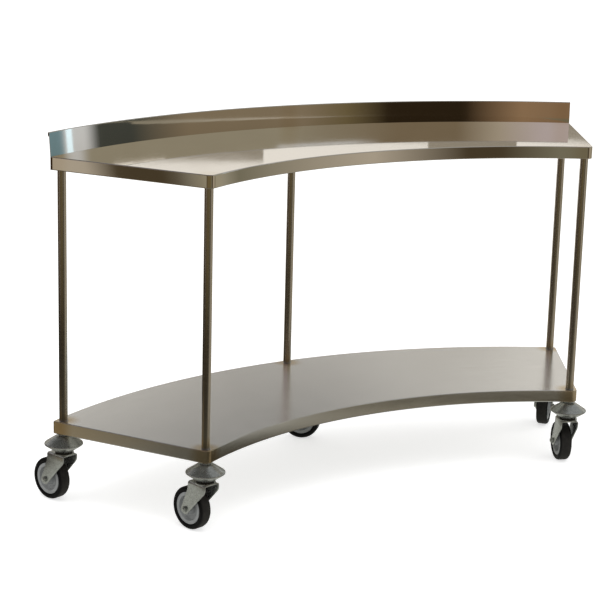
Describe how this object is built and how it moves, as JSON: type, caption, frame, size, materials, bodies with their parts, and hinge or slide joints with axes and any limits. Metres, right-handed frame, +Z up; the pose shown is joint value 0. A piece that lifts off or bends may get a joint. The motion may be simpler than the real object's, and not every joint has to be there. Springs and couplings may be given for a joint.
{
  "type": "curved instrument table",
  "caption": "Arc-shaped stainless table with a rear upstand, a matching lower shelf, tube legs and swivel castors, for laying out instruments within reach.",
  "frame": {"origin": "on the floor, in the middle of the table's length and depth", "axes": "+X along the length, +Y to the convex rear side with the upstand, +Z up"},
  "size_m": [1.5304, 0.6154, 0.8754],
  "materials": {
    "polished_sheet": "polished stainless sheet",
    "satin_sheet": "satin stainless sheet",
    "leg_tube": "polished stainless tube",
    "zinc_steel": "zinc plated pressed steel",
    "race_steel": "greased hardened steel",
    "hub_plastic": "moulded grey plastic",
    "tyre_rubber": "black rubber"
  },
  "bodies": {
    "table": {"worktop_sheet": "polished_sheet", "rear_upstand": "polished_sheet", "lower_shelf": "satin_sheet", "worktop_stiffener": "satin_sheet", "shelf_stiffener": "satin_sheet", "leg_rear_left": "leg_tube", "socket_rear_left": "zinc_steel", "stem_rear_left": "zinc_steel", "cup_rear_left": "zinc_steel", "leg_rear_middle": "leg_tube", "socket_rear_middle": "zinc_steel", "stem_rear_middle": "zinc_steel", "cup_rear_middle": "zinc_steel", "leg_rear_right": "leg_tube", "socket_rear_right": "zinc_steel", "stem_rear_right": "zinc_steel", "cup_rear_right": "zinc_steel", "leg_front_left": "leg_tube", "socket_front_left": "zinc_steel", "stem_front_left": "zinc_steel", "cup_front_left": "zinc_steel", "leg_front_right": "leg_tube", "socket_front_right": "zinc_steel", "stem_front_right": "zinc_steel", "cup_front_right": "zinc_steel"},
    "castor_rear_left": {"race_rear_left": "race_steel", "fork_rear_left": "zinc_steel", "axle_bolt_rear_left": "zinc_steel", "axle_nut_rear_left": "zinc_steel"},
    "wheel_rear_left": {"hub_rear_left": "hub_plastic", "tyre_rear_left": "tyre_rubber"},
    "castor_rear_middle": {"race_rear_middle": "race_steel", "fork_rear_middle": "zinc_steel", "axle_bolt_rear_middle": "zinc_steel", "axle_nut_rear_middle": "zinc_steel"},
    "wheel_rear_middle": {"hub_rear_middle": "hub_plastic", "tyre_rear_middle": "tyre_rubber"},
    "castor_rear_right": {"race_rear_right": "race_steel", "fork_rear_right": "zinc_steel", "axle_bolt_rear_right": "zinc_steel", "axle_nut_rear_right": "zinc_steel"},
    "wheel_rear_right": {"hub_rear_right": "hub_plastic", "tyre_rear_right": "tyre_rubber"},
    "castor_front_left": {"race_front_left": "race_steel", "fork_front_left": "zinc_steel", "axle_bolt_front_left": "zinc_steel", "axle_nut_front_left": "zinc_steel"},
    "wheel_front_left": {"hub_front_left": "hub_plastic", "tyre_front_left": "tyre_rubber"},
    "castor_front_right": {"race_front_right": "race_steel", "fork_front_right": "zinc_steel", "axle_bolt_front_right": "zinc_steel", "axle_nut_front_right": "zinc_steel"},
    "wheel_front_right": {"hub_front_right": "hub_plastic", "tyre_front_right": "tyre_rubber"}
  },
  "joints": [
    {"name": "swivel_rear_left", "type": "hinge", "parent": "table", "child": "castor_rear_left", "pos_m": [-0.72024, 0.06515, 0.1227], "axis": [0, 0, 1], "continuous": true},
    {"name": "roll_rear_left", "type": "hinge", "parent": "castor_rear_left", "child": "wheel_rear_left", "pos_m": [-0.73353, 0.10604, 0.05], "axis": [0.9511, 0.309, 0], "continuous": true},
    {"name": "swivel_rear_middle", "type": "hinge", "parent": "table", "child": "castor_rear_middle", "pos_m": [0, 0.26265, 0.1227], "axis": [0, 0, 1], "continuous": true},
    {"name": "roll_rear_middle", "type": "hinge", "parent": "castor_rear_middle", "child": "wheel_rear_middle", "pos_m": [0.03041, 0.23225, 0.05], "axis": [-0.7071, -0.7071, 0], "continuous": true},
    {"name": "swivel_rear_right", "type": "hinge", "parent": "table", "child": "castor_rear_right", "pos_m": [0.72024, 0.06515, 0.1227], "axis": [0, 0, 1], "continuous": true},
    {"name": "roll_rear_right", "type": "hinge", "parent": "castor_rear_right", "child": "wheel_rear_right", "pos_m": [0.68879, 0.03582, 0.05], "axis": [-0.682, 0.7314, 0], "continuous": true},
    {"name": "swivel_front_left", "type": "hinge", "parent": "table", "child": "castor_front_left", "pos_m": [-0.52015, -0.26265, 0.1227], "axis": [0, 0, 1], "continuous": true},
    {"name": "roll_front_left", "type": "hinge", "parent": "castor_front_left", "child": "wheel_front_left", "pos_m": [-0.53128, -0.22112, 0.05], "axis": [0.9659, 0.2588, 0], "continuous": true},
    {"name": "swivel_front_right", "type": "hinge", "parent": "table", "child": "castor_front_right", "pos_m": [0.52015, -0.26265, 0.1227], "axis": [0, 0, 1], "continuous": true},
    {"name": "roll_front_right", "type": "hinge", "parent": "castor_front_right", "child": "wheel_front_right", "pos_m": [0.53695, -0.22307, 0.05], "axis": [0.9205, -0.3907, 0], "continuous": true}
  ]
}
